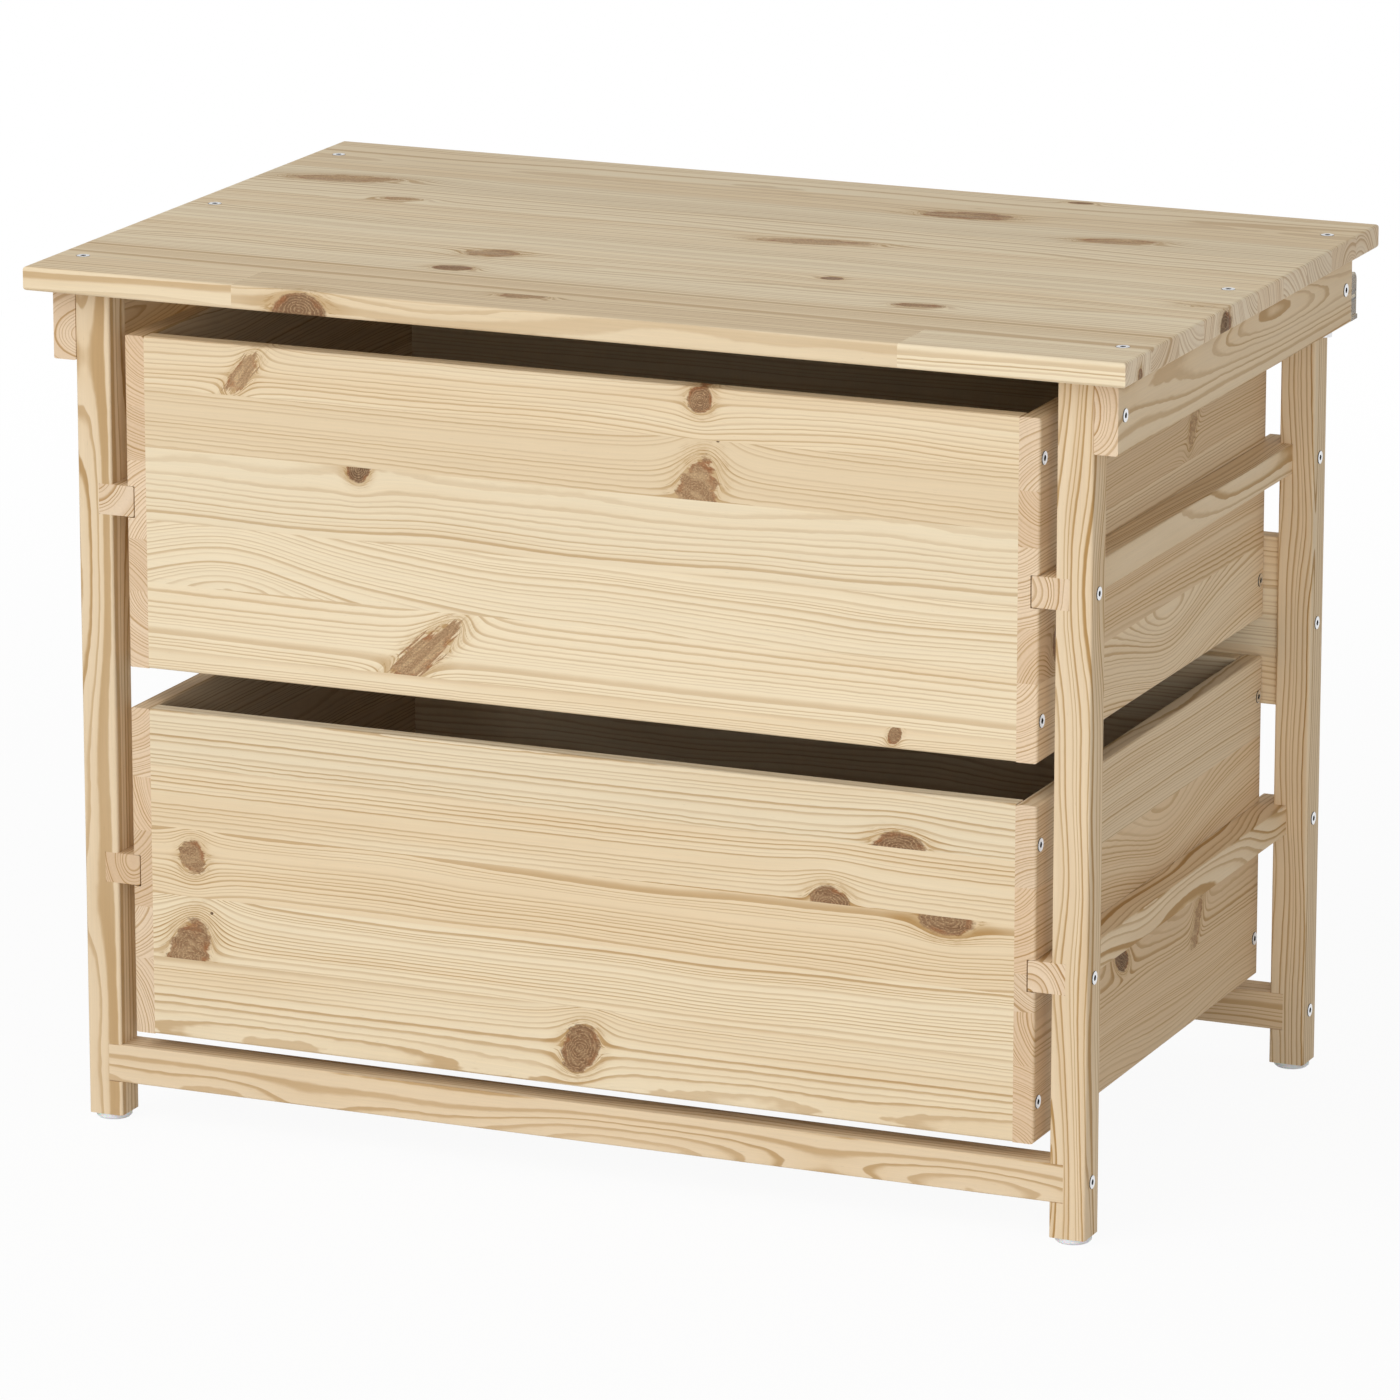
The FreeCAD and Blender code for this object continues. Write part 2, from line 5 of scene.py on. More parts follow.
import bpy
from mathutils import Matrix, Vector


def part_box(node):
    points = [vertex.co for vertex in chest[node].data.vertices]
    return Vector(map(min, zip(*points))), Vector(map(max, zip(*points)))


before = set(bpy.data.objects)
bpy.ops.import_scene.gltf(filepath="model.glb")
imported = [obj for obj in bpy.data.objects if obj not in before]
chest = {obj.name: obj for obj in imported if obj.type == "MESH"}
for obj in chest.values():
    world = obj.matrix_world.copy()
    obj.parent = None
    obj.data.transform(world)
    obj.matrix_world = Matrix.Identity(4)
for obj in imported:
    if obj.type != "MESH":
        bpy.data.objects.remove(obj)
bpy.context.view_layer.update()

MM_PER_METRE = 1000.0
AXES = "XYZ"


# Shader maths
class Wire:
    """A number, vector or colour in a node tree. Arithmetic on numbers adds Math nodes."""

    def __init__(self, bench, socket):
        self.bench = bench
        self.socket = socket

    def __add__(self, other):
        return self.bench.math("ADD", self, other)

    def __radd__(self, other):
        return self.bench.math("ADD", other, self)

    def __sub__(self, other):
        return self.bench.math("SUBTRACT", self, other)

    def __rsub__(self, other):
        return self.bench.math("SUBTRACT", other, self)

    def __mul__(self, other):
        return self.bench.math("MULTIPLY", self, other)

    def __rmul__(self, other):
        return self.bench.math("MULTIPLY", other, self)

    def __truediv__(self, other):
        return self.bench.math("DIVIDE", self, other)

    def __rtruediv__(self, other):
        return self.bench.math("DIVIDE", other, self)

    def __gt__(self, other):
        return self.bench.math("GREATER_THAN", self, other)

    def __abs__(self):
        return self.bench.math("ABSOLUTE", self)


class Bench:
    """A node tree and the ways in which nodes are added to it."""

    def __init__(self, tree):
        self.tree = tree
        tree.nodes.clear()

    def connect(self, socket, value):
        """Gives a socket a plain value or a wire."""
        if isinstance(value, Wire):
            self.tree.links.new(value.socket, socket)
        else:
            socket.default_value = value

    def add(self, kind, settings, sockets):
        """Adds one node: its settings first, then the values or links of its sockets."""
        item = self.tree.nodes.new(kind)
        for name, value in settings.items():
            setattr(item, name, value)
        for name, value in sockets.items():
            self.connect(item.inputs[name], value)
        return item

    def node(self, kind, settings, sockets, output=0):
        """Adds one node and gives one of its outputs."""
        return Wire(self, self.add(kind, settings, sockets).outputs[output])

    def math(self, operation, *terms):
        return self.node("ShaderNodeMath", {"operation": operation}, dict(enumerate(terms)))

    def vector(self, operation, *terms, output="Vector", **sockets):
        sockets.update(enumerate(terms))
        return self.node("ShaderNodeVectorMath", {"operation": operation}, sockets, output)

    def parts(self, vector):
        """The three numbers of a vector."""
        item = self.add("ShaderNodeSeparateXYZ", {}, {"Vector": vector})
        return [Wire(self, socket) for socket in item.outputs]

    def join(self, *numbers):
        return self.node("ShaderNodeCombineXYZ", {}, dict(enumerate(numbers)))

    def mix(self, share, first, second, blend="MIX"):
        """A mix of two colours."""
        settings = {"data_type": "RGBA", "blend_type": blend}
        return self.node("ShaderNodeMix", settings, {0: share, 6: first, 7: second}, 2)

    def blend(self, share, first, second):
        """A mix of two vectors."""
        return self.node("ShaderNodeMix", {"data_type": "VECTOR"}, {0: share, 4: first, 5: second}, 1)

    def rise(self, value, low, high, start=0.0, stop=1.0):
        """Goes smoothly from start to stop while the value goes from low to high."""
        settings = {"interpolation_type": "SMOOTHSTEP"}
        sockets = {"Value": value, "From Min": low, "From Max": high, "To Min": start, "To Max": stop}
        return self.node("ShaderNodeMapRange", settings, sockets)

    def coordinates(self, kind="Object"):
        return self.node("ShaderNodeTexCoord", {}, {}, kind)

    def noise(self, place, detail=2.0, rough=0.5):
        sockets = {"Vector": place, "Scale": 1.0, "Detail": detail, "Roughness": rough}
        return self.node("ShaderNodeTexNoise", {}, sockets, "Fac")

    def cloud(self, per_metre, detail=2.0, rough=0.5):
        """Noise on the piece, with so many patches to the metre in each direction."""
        return self.noise(self.vector("MULTIPLY", self.coordinates(), per_metre), detail, rough)

    def chance(self, number):
        """Three random numbers from 0 to 1 that stay the same for one whole number."""
        settings = {"noise_dimensions": "1D"}
        colour = self.node("ShaderNodeTexWhiteNoise", settings, {"W": number}, "Color")
        return self.parts(colour)


class Finish(Bench):
    """A material with one surface shader."""

    def __init__(self, name, **surface):
        self.material = bpy.data.materials.new(name)
        self.material.use_nodes = True
        super().__init__(self.material.node_tree)
        self.surface = self.add("ShaderNodeBsdfPrincipled", {}, {})
        self.shader = Wire(self, self.surface.outputs["BSDF"])
        self.output = self.add("ShaderNodeOutputMaterial", {}, {"Surface": self.shader})
        for socket, value in surface.items():
            self.feed(socket.replace("_", " "), value)

    def feed(self, socket, value):
        """Gives one socket of the surface a plain value or a wire."""
        self.connect(self.surface.inputs[socket], value)

    def dent(self, height, strength, distance):
        """Feeds the surface's normal with a bump."""
        sockets = {"Strength": strength, "Distance": distance, "Height": height}
        self.feed("Normal", self.node("ShaderNodeBump", {}, sockets, "Normal"))

    def paint(self, *names):
        for name in names:
            chest[name].material_slots[0].material = self.material


# Colours of pine
SAPWOOD = (0.86, 0.73, 0.52, 1)
HEARTWOOD = (0.815, 0.655, 0.44, 1)
# Warmer, darker pine of the rails, posts, runners and drawer sides: partly their own tone, partly painted
# warm bounce light for their shaded faces
WARM_SAPWOOD_AND_PAINTED_BOUNCE = (0.81, 0.645, 0.44, 1)
WARM_HEARTWOOD_AND_PAINTED_BOUNCE = (0.735, 0.55, 0.35, 1)
DEEP_HEARTWOOD = (0.69, 0.50, 0.305, 1)
SUMMERWOOD = (0.70, 0.50, 0.275, 1)
LATEWOOD = (0.45, 0.265, 0.10, 1)
END_GRAIN = (1.01, 0.995, 1.04, 1)
KNOT_PALE = (0.43, 0.27, 0.145, 1)
KNOT_BROWN = (0.245, 0.135, 0.07, 1)
KNOT_DARK = (0.09, 0.05, 0.03, 1)
KNOT_RED = (0.32, 0.12, 0.045, 1)
KNOT_RING = (0.60, 0.42, 0.235, 1)
KNOT_STAIN = (0.62, 0.44, 0.24, 1)

# A knot's place and half sizes in millimetres from the piece's low corner, along the grain, across the
# staves and through the board, and its tone from 0, pale, to 1, dark. It belongs to one stave, counted
# from the low edge.
Knot = namedtuple("Knot", "stave along across long wide turn tone deep thick", defaults=(0, 0.5, 0, 400))

# A place where the pith of one stave comes nearest to the face, so that the rings there close into ovals:
# along the grain, across the staves, its depth under the face, the half length of the ovals, and how far
# the pith bends aside, across the staves, away from there.
Eye = namedtuple("Eye", "stave along across under long bend")

# A cut of timber: growth ring width, the nearest and farthest that the pith may lie from the stave's middle,
# across and through the board, how much it leans along the board, how far the grain sways, the share of a
# ring that is dark and how dark it is, and its two base colours.
Cut = namedtuple("Cut", "ring across through lean sway share contrast pale dark")
PANEL = Cut(3.1, (22, 70), (14, 50), 0.012, 5, 0.46, 0.68, SAPWOOD, HEARTWOOD)
STRONG_PANEL = PANEL._replace(contrast=0.95)
TOP = Cut(4.0, (16, 50), (12, 40), 0.012, 6, 0.55, 0.75, SAPWOOD, HEARTWOOD)
# Drawer sides and sticks use the warmer pine, which also paints in the warm bounce light of their shaded
# faces
SIDE = Cut(2.4, (18, 60), (12, 45), 0.015, 6, 0.46, 1.1, WARM_SAPWOOD_AND_PAINTED_BOUNCE, WARM_HEARTWOOD_AND_PAINTED_BOUNCE)
STICK = Cut(3.4, (5, 18), (15, 26), 0.02, 15, 0.44, 1.2, WARM_SAPWOOD_AND_PAINTED_BOUNCE, WARM_HEARTWOOD_AND_PAINTED_BOUNCE)
STRONG_STICK = STICK._replace(ring=4.2, contrast=1.6, dark=DEEP_HEARTWOOD)

# Patches of noise in millimetres, along the grain, across the staves and through the board
SWAY = (230, 80, 80)
RIPPLE = (15, 7, 7)
FIBRE = (26, 0.55, 0.55)
STREAK = (90, 1.7, 1.7)
DUCT = (7, 0.6, 0.6)
LUMP = (16, 10, 16)
CRUMB = (1.6, 1.2, 1.6)
COMB = (10, 0.8, 0.8)

# Bands of colour in millimetres, along the grain and across the rings
BAND_LENGTH = 300
BAND_WIDTH = 11

# Steps between the random draws for staves, butted lengths, years and knots
PITH_STEP = 7.31
HUE_STEP = 3.17
HUE_START = 91.7
BUTT_STEP = 31
YEAR_STEP = 57
FRAY_STEP = 13.7

# Growth of rings in millimetres and years
LOG_LENGTH = 5000
RIPPLE_HEIGHT = 0.7
UNEVEN_WIDTH = 15
UNEVEN_YEARS = 6
LATE_ONSET = 0.25

# How much each thing in the wood darkens or tints it
STAVE_HUE = 0.75
FAINTEST_YEAR = 0.3
SUMMER_TINT = 0.4
LATE_TINT = 0.75
STAVE_SHADE = 0.08
FIBRE_SHADE = 0.1
STREAK_SHADE = 0.12
DUCT_SHADE = 0.12

# Planed faces: roughness, the sheen of late wood, and the height in metres of the fibres
PLANED = 0.60
LATE_SHEEN = 0.14
FIBRE_ROUGHNESS = 0.1
FIBRE_STRENGTH = 0.08
FIBRE_HEIGHT = 0.0002
RAW_WOOD_GLOSS = 0.1

# Knots: how far they part the grain, a reach that counts as no knot, how ragged their outline is, and rings
KNOT_PUSH = 0.85
NO_KNOT = 1000.0
LUMPY_EDGE = 0.55
CRUMBLY_EDGE = 0.1
FRAYED_EDGE = 0.3
PALE_FRAYED_EDGE = 1.3
FRAY_ALONG = 1.1
FRAY_ACROSS = 4.5
KNOT_RINGS = 6.5


class Timber:
    """Solid pine for one piece. Growth rings stand round each stave's pith, so faces and ends agree."""

    def __init__(self, piece, along, across, cut, joints=(), butts=(), knots=(), eyes=(), seed=0):
        self.finish = Finish(f"pine_{piece}", Specular_IOR_Level=RAW_WOOD_GLOSS)
        self.cut = cut
        self.seed = seed
        self.measure(piece, along, across)
        self.lay_staves(joints, butts)
        self.grow_knots(knots)
        self.grow_rings(eyes)
        self.colour = self.wood_colour(along)
        if knots:
            self.colour = self.knot_colour()
        self.finish.feed("Base Color", self.colour)
        self.finish.feed("Roughness", PLANED - self.late * LATE_SHEEN + self.fibre * FIBRE_ROUGHNESS)
        self.finish.dent(self.fibre, FIBRE_STRENGTH, FIBRE_HEIGHT)
        self.finish.paint(piece)

    def measure(self, piece, along, across):
        """Millimetres along the grain, across the staves and through the board."""
        finish = self.finish
        low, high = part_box(piece)
        corner = finish.vector("SUBTRACT", finish.coordinates(), low)
        millimetres = finish.vector("MULTIPLY", corner, (MM_PER_METRE,) * 3)
        by_axis = dict(zip(AXES, finish.parts(millimetres)))
        through = next(axis for axis in AXES if axis not in (along, across))
        self.run, self.width, self.depth = by_axis[along], by_axis[across], by_axis[through]
        self.grain = finish.join(self.run, self.width, self.depth)
        size = {axis: (b - a) * MM_PER_METRE for axis, a, b in zip(AXES, low, high)}
        self.breadth, self.thickness = size[across], size[through]

    def lay_staves(self, joints, butts):
        """Staves glued edge to edge, some of them butted end to end, each with its own chances."""
        finish = self.finish
        self.stave = 0
        edges = (0, *joints, self.breadth)
        middles = [(low + high) / 2 for low, high in zip(edges, edges[1:])]
        self.middle = middles[0]
        for joint, middle, before in zip(joints, middles[1:], middles):
            past = self.width > joint
            self.stave = self.stave + past
            self.middle = self.middle + past * (middle - before)
        self.plank = self.stave
        for number, (stave, place) in enumerate(butts, start=1):
            beyond = self.own(stave) * (self.run > place)
            self.plank = self.plank + beyond * (number * BUTT_STEP)
        pith_draw = self.plank + self.seed * PITH_STEP
        hue_draw = self.plank + self.seed * HUE_STEP + HUE_START
        self.pith_across, self.pith_depth, self.lean = finish.chance(pith_draw)
        self.hue, self.shade, self.offset = finish.chance(hue_draw)

    def own(self, stave):
        """1 inside one stave."""
        return self.finish.math("COMPARE", self.stave, stave, 0.5)

    def patches(self, size, place, detail=2.0, rough=0.5):
        """Noise in patches of one size, at a place along the grain, across the staves and through."""
        scaled = (value / length for value, length in zip(place, size))
        return self.finish.noise(self.finish.join(*scaled), detail, rough)

    def grow_knots(self, knots):
        """Each knot pushes the grain aside as a stone parts a stream."""
        finish = self.finish
        self.flow_across, self.flow_depth = self.width, self.depth
        self.knot_reach, self.knot_tone, self.knot_place = NO_KNOT, 0.0, (0, 0, 0)
        for knot in knots:
            sockets = {
                "Vector": self.grain,
                "Location": (knot.along, knot.across, knot.deep),
                "Rotation": (0, 0, math.radians(knot.turn)),
                "Scale": (knot.long, knot.wide, knot.thick),
            }
            inside = finish.node("ShaderNodeMapping", {"vector_type": "TEXTURE"}, sockets)
            reach = finish.vector("DOT_PRODUCT", inside, inside, output="Value")
            own = self.own(knot.stave)
            push = own * KNOT_PUSH / finish.math("MAXIMUM", reach, 1)
            self.flow_across = self.flow_across - (self.width - knot.across) * push
            self.flow_depth = self.flow_depth - (self.depth - knot.deep) * push
            reach = reach + (1 - own) * NO_KNOT
            nearer = finish.math("LESS_THAN", reach, self.knot_reach)
            self.knot_tone = self.knot_tone + nearer * (knot.tone - self.knot_tone)
            self.knot_place = finish.blend(nearer, self.knot_place, inside)
            self.knot_reach = finish.math("MINIMUM", reach, self.knot_reach)

    def grow_rings(self, eyes):
        """The distance from the pith, and from it the year and its season."""
        finish, cut = self.finish, self.cut
        self.long_way = self.run + self.offset * LOG_LENGTH
        sway = self.patches(SWAY, (self.long_way, self.width, self.depth), 1.0)
        ripple = self.patches(RIPPLE, (self.long_way, self.width, self.depth), 1.0)
        drift = (sway - 0.5) * (2 * cut.sway)
        slope = (self.lean - 0.5) * (2 * cut.lean)
        from_across = self.flow_across - self.middle - self.aside(self.pith_across, cut.across) + drift
        from_middle = self.flow_depth - self.thickness / 2
        from_depth = from_middle - self.aside(self.pith_depth, cut.through) + slope * self.run + drift
        for eye in eyes:
            own = self.own(eye.stave)
            away = abs(self.run - eye.along) / eye.long
            far = away * away / (1 + away * away * 0.5)
            under = eye.under * (1 + far)
            across = eye.across + eye.bend * far
            from_across = from_across + own * (self.flow_across - across + drift - from_across)
            from_depth = from_depth + own * (self.depth + under + drift - from_depth)
        straight = finish.math("SQRT", from_across * from_across + from_depth * from_depth)
        self.radius = straight + ripple * RIPPLE_HEIGHT
        uneven = finish.noise(finish.join(self.radius / UNEVEN_WIDTH, self.plank + self.seed, 0.0), 1.0)
        years = self.radius / cut.ring + uneven * UNEVEN_YEARS
        season = finish.math("FRACT", years)
        self.vigour = finish.chance(finish.math("FLOOR", years) + self.plank * YEAR_STEP + self.seed)[0]
        fall = finish.rise(season, 0.93, 1.0, 1, 0)
        late_start = 1 - cut.share
        self.summer = finish.rise(season, 0.1, 0.95) * fall
        self.late = finish.rise(season, late_start, late_start + LATE_ONSET) * fall

    def aside(self, chance, reach):
        """A distance to either side, between the nearest and the farthest of its reach."""
        nearest, farthest = reach
        side = (chance > 0.5) * 2 - 1
        return side * nearest + (chance - 0.5) * (2 * (farthest - nearest))

    def wood_colour(self, along):
        """Pale and warm bands under darker late wood, with fine fibres, streaks and resin ducts."""
        finish, cut = self.finish, self.cut
        band_place = (self.long_way / BAND_LENGTH, self.radius / BAND_WIDTH, self.plank + 0.5)
        band = finish.noise(finish.join(*band_place), 2.0)
        self.fibre = self.patches(FIBRE, (self.long_way, self.width, self.depth), 3.0, 0.6)
        streak = self.patches(STREAK, (self.long_way, self.flow_across, self.depth), 2.0)
        duct = self.patches(DUCT, (self.long_way, self.width, self.depth), 1.0)
        warm = finish.rise(band + (self.hue - 0.5) * STAVE_HUE, 0.25, 0.77)
        colour = finish.mix(warm, cut.pale, cut.dark)
        vigour = self.vigour * (1 - FAINTEST_YEAR) + FAINTEST_YEAR
        strength = vigour * cut.contrast * (0.6 + band * 0.8)
        strength = strength * finish.rise(self.knot_reach, 1, 6, 1.6, 1)
        colour = finish.mix(self.summer * strength * SUMMER_TINT, colour, SUMMERWOOD)
        colour = finish.mix(self.late * strength * LATE_TINT, colour, LATEWOOD)
        light = 1 + (self.shade - 0.5) * STAVE_SHADE + (self.fibre - 0.5) * FIBRE_SHADE
        light = light + (streak - 0.5) * STREAK_SHADE - finish.rise(duct, 0.68, 0.8) * DUCT_SHADE
        colour = finish.vector("SCALE", colour, Scale=light)
        facing = dict(zip(AXES, finish.parts(finish.coordinates("Normal"))))[along]
        end = finish.rise(abs(facing), 0.55, 0.9)
        return finish.mix(end, colour, finish.mix(1.0, colour, END_GRAIN, "MULTIPLY"))

    def knot_colour(self):
        """Finely ringed and frayed cores with a broken reddish rim, among stained and combed fibres."""
        finish = self.finish
        lumpy = self.patches(LUMP, (self.run, self.width, self.depth), 2.0)
        crumbly = self.patches(CRUMB, (self.run, self.width, self.depth), 2.0, 0.6)
        comb = self.patches(COMB, (self.run, self.flow_across, self.flow_depth), 2.0, 0.6)
        lengthwise, sidewise, _ = finish.parts(self.knot_place)
        fray_place = (lengthwise * FRAY_ALONG, sidewise * FRAY_ACROSS, self.stave * FRAY_STEP + self.seed)
        fray = finish.noise(finish.join(*fray_place), 3.0, 0.6)
        pale = finish.rise(self.knot_tone, 0.1, 0.45, 1, 0)

        edge = finish.math("SQRT", self.knot_reach) + (lumpy - 0.5) * LUMPY_EDGE
        edge = edge + (crumbly - 0.5) * CRUMBLY_EDGE
        edge = edge + (fray - 0.5) * (FRAYED_EDGE + pale * PALE_FRAYED_EDGE)
        stain = finish.rise(edge, 0.9, 1.9, 0.55, 0) * finish.rise(lumpy, 0.35, 0.65, 0.3, 1)
        around = finish.mix(stain, self.colour, KNOT_STAIN)
        hairs = finish.rise(comb, 0.52, 0.62) * finish.rise(edge, 0.9, 1.7, 0.9, 0)
        around = finish.mix(hairs, around, LATEWOOD)

        core = finish.mix(finish.rise(self.knot_tone, 0, 0.5), KNOT_PALE, KNOT_BROWN)
        core = finish.mix(finish.rise(self.knot_tone, 0.5, 1), core, KNOT_DARK)
        ring = finish.math("FRACT", edge * KNOT_RINGS)
        pale_ring = finish.rise(ring, 0.5, 0.8) * finish.rise(ring, 0.85, 1.0, 1, 0)
        core = finish.mix(pale_ring * (crumbly * 0.8), core, KNOT_RING)
        core = finish.mix(finish.rise(fray, 0.42, 0.62) * (0.2 + pale * 0.6), core, KNOT_RING)
        rim = finish.rise(edge, 0.6, 0.95) * finish.rise(lumpy, 0.4, 0.7) * 0.8
        core = finish.mix(rim, core, KNOT_RED)
        core = finish.vector("SCALE", core, Scale=0.45 + crumbly * 1.1)
        return finish.mix(finish.rise(edge, 0.9, 1.04), core, around)


# Other finishes
ZINC_DULL = (0.74, 0.75, 0.77, 1)
ZINC_BRIGHT = (0.90, 0.91, 0.92, 1)
# Near black painted shade for the deep recess of each screw socket
PAINTED_SOCKET_SHADE = (0.012, 0.011, 0.010, 1)
MILK_SHADE = (0.78, 0.79, 0.81, 1)
MILK_LIGHT = (0.88, 0.88, 0.89, 1)
SMOKE_DARK = (0.40, 0.33, 0.20, 1)
SMOKE_LIGHT = (0.52, 0.44, 0.28, 1)
BOARD_DARK = (0.30, 0.185, 0.095, 1)
BOARD_LIGHT = (0.46, 0.31, 0.18, 1)
BOARD_CLOUD = (0.38, 0.25, 0.14, 1)


def zinc(*names):
    """Bright zinc on the screws, a little cloudy, with painted shade in the sockets: near black and not
    metal where ambient occlusion finds a deep recess.
    """
    socket_reach = 0.004
    finish = Finish("bright_zinc")
    cloud = finish.cloud((900, 900, 900), 3.0)
    open_sky = finish.node("ShaderNodeAmbientOcclusion", {"samples": 8}, {"Distance": socket_reach}, "AO")
    # Share of a head outside the painted socket shade, found by ambient occlusion
    outside_socket_shade = finish.rise(open_sky, 0.55, 0.85)
    bright = finish.mix(cloud, ZINC_DULL, ZINC_BRIGHT)
    finish.feed("Base Color", finish.mix(outside_socket_shade, PAINTED_SOCKET_SHADE, bright))
    finish.feed("Metallic", outside_socket_shade)
    finish.feed("Roughness", 0.75 - outside_socket_shade * 0.5 + cloud * 0.2)
    finish.paint(*names)


def milky_plastic(*names):
    """Soft white plastic of the feet."""
    finish = Finish("milky_plastic", Subsurface_Weight=0.35, Subsurface_Scale=0.004, IOR=1.5)
    cloud = finish.cloud((260, 260, 260))
    finish.feed("Base Color", finish.mix(cloud, MILK_SHADE, MILK_LIGHT))
    finish.feed("Roughness", 0.34 + cloud * 0.16)
    finish.paint(*names)


def clear_plastic(*names):
    """Smoky clear plastic of the wall anchors. They stand a hair off the wood, so that light gets behind."""
    hair = 0.0001
    finish = Finish("clear_plastic", Transmission_Weight=1.0, IOR=1.49)
    haze = finish.cloud((300, 300, 300))
    finish.feed("Base Color", finish.mix(haze, SMOKE_DARK, SMOKE_LIGHT))
    finish.feed("Roughness", 0.08 + haze * 0.12)
    finish.paint(*names)
    for name in names:
        gap = chest[name].modifiers.new("gap", "DISPLACE")
        gap.mid_level = 0
        gap.strength = -hair


def hardboard(*names):
    """Pressed fibre of the drawer bottoms."""
    finish = Finish("hardboard", IOR=1.45)
    fleck = finish.cloud((420, 420, 900), 4.0, 0.7)
    cloud = finish.cloud((22, 22, 22))
    colour = finish.mix(finish.rise(fleck, 0.3, 0.7), BOARD_DARK, BOARD_LIGHT)
    finish.feed("Base Color", finish.mix(cloud * 0.35, colour, BOARD_CLOUD))
    finish.feed("Roughness", 0.48 + fleck * 0.25)
    finish.dent(fleck, 0.15, 0.0003)
    finish.paint(*names)


# Staves and knots of the boards
UPPER_FRONT_JOINTS = (16, 66, 113, 168, 213)
UPPER_FRONT_KNOTS = (
    Knot(5, 80, 229, 19, 7.5, 52, 0.15),
    Knot(3, 173, 167, 10, 10.5, 0, 0.75),
    Knot(1, 224, 33, 37, 11, 42, 0.2),
    Knot(5, 444, 242, 10.5, 10.5, 0, 0.45),
    Knot(4, 440, 168, 16, 32, -16, 0.25),
    Knot(0, 595, 10, 5, 8, -25, 0.4),
    Knot(4, 458, 213, 1.2, 1.0, 0, 1.0),
)
UPPER_FRONT_EYES = (Eye(2, 70, 66, 10, 75, -14),)
LOWER_FRONT_JOINTS = (61, 110, 162, 209)
LOWER_FRONT_KNOTS = (
    Knot(2, 34, 141, 10.5, 13, 0, 0.3),
    Knot(1, 29, 61, 17, 32, -16, 0.35),
    Knot(0, 349, 30, 14.5, 19, -28, 0.5),
    Knot(4, 599, 208.5, 21, 12.5, 0, 0.6),
    Knot(3, 545, 161, 16, 14.5, 0, 0.55),
    Knot(2, 636, 161, 21.5, 13.5, 0, 0.55),
    Knot(1, 49, 99, 1.3, 1.1, 0, 1.0),
)
SIDE_JOINTS = (58, 98, 157, 198)
RIGHT_SIDE_JOINTS = {"upper": SIDE_JOINTS, "lower": (58, 98, 126, 190)}
RIGHT_SIDE_KNOTS = {
    "upper": (Knot(3, 316, 184, 7, 20, -24, 0), Knot(1, 40, 82, 12, 15, -20, 0.55)),
    "lower": (Knot(1, 178, 91, 16, 9, -28, 0.8), Knot(1, 338, 72, 7, 27, -24, 0.1)),
}
RIGHT_SIDE_EYES = {"upper": (Eye(0, 270, 56, 7, 70, 12),), "lower": (Eye(3, 268, 188, 7, 70, 12),)}
BACK_BOARD_JOINTS = (45, 92)
TOP_BUTTS = ((0, 170), (0, 691))
TOP_JOINTS = (52, 109, 160, 220, 273, 330, 381, 437, 492)
TOP_KNOTS = (
    Knot(7, 69, 402, 42, 12, 12, 0.1),
    Knot(6, 144, 344, 14, 5, 8, 0.1),
    Knot(3, 296, 180, 21, 12, 15, 0.2),
    Knot(2, 292, 119, 16, 9, 8, 0.4),
    Knot(0, 381, 47, 18, 8, 6, 0.2),
    Knot(8, 566, 452, 36, 14, 6, 0.25),
    Knot(9, 627, 532, 10, 4, 4, 0.5),
    Knot(5, 499, 314, 44, 9, 10, 0.1),
    Knot(7, 705, 404, 30, 9, 12, 0.1),
    Knot(3, 562, 193, 9, 5, 5, 0.6),
    Knot(2, 656, 128, 18, 7, 8, 0.25),
    Knot(0, 224, 0, 22, 15, 0, 0.6, 3, 13.5),
    Knot(3, 850, 206, 32, 12, 0, 0.8, 6, 11),
    Knot(0, 858, 30, 10, 5, 0, 0.6, 4, 6),
)

# Which random log each piece is cut from
TOP_SEED = 3
BOTTOM_RAIL_SEEDS = {"front": 36, "back": 24}
POST_SEEDS = {"front_left": 36, "front_right": 39, "back_left": 32, "back_right": 40}
SIDE_RAIL_SEEDS = {"left": 41, "right": 34}
RUNNER_SEEDS = {"lower_left": 50, "upper_left": 51, "lower_right": 39, "upper_right": 34}
BACK_BOARD_SEED = 60
LEFT_SIDE_SEEDS = {"lower": 70, "upper": 71}
RIGHT_SIDE_SEEDS = {"lower": 74, "upper": 75}
DRAWER_BACK_SEEDS = {"lower": 80, "upper": 81}
UPPER_FRONT_SEED = 90
LOWER_FRONT_SEED = 91


def finish_frame():
    """The top, the posts and the sticks between them, and the back board."""
    Timber("top_panel", "X", "Y", TOP, TOP_JOINTS, TOP_BUTTS, TOP_KNOTS, seed=TOP_SEED)
    for row, seed in BOTTOM_RAIL_SEEDS.items():
        Timber(f"{row}_bottom_rail", "X", "Z", STICK, seed=seed)
    for corner, seed in POST_SEEDS.items():
        Timber(f"{corner}_post", "Z", "X", STRONG_STICK, seed=seed)
    for side, seed in SIDE_RAIL_SEEDS.items():
        Timber(f"{side}_side_rail", "Y", "Z", STICK, seed=seed)
    for place, seed in RUNNER_SEEDS.items():
        Timber(f"{place}_runner", "Y", "Z", STRONG_STICK, seed=seed)
    Timber("back_board", "X", "Z", PANEL, BACK_BOARD_JOINTS, seed=BACK_BOARD_SEED)


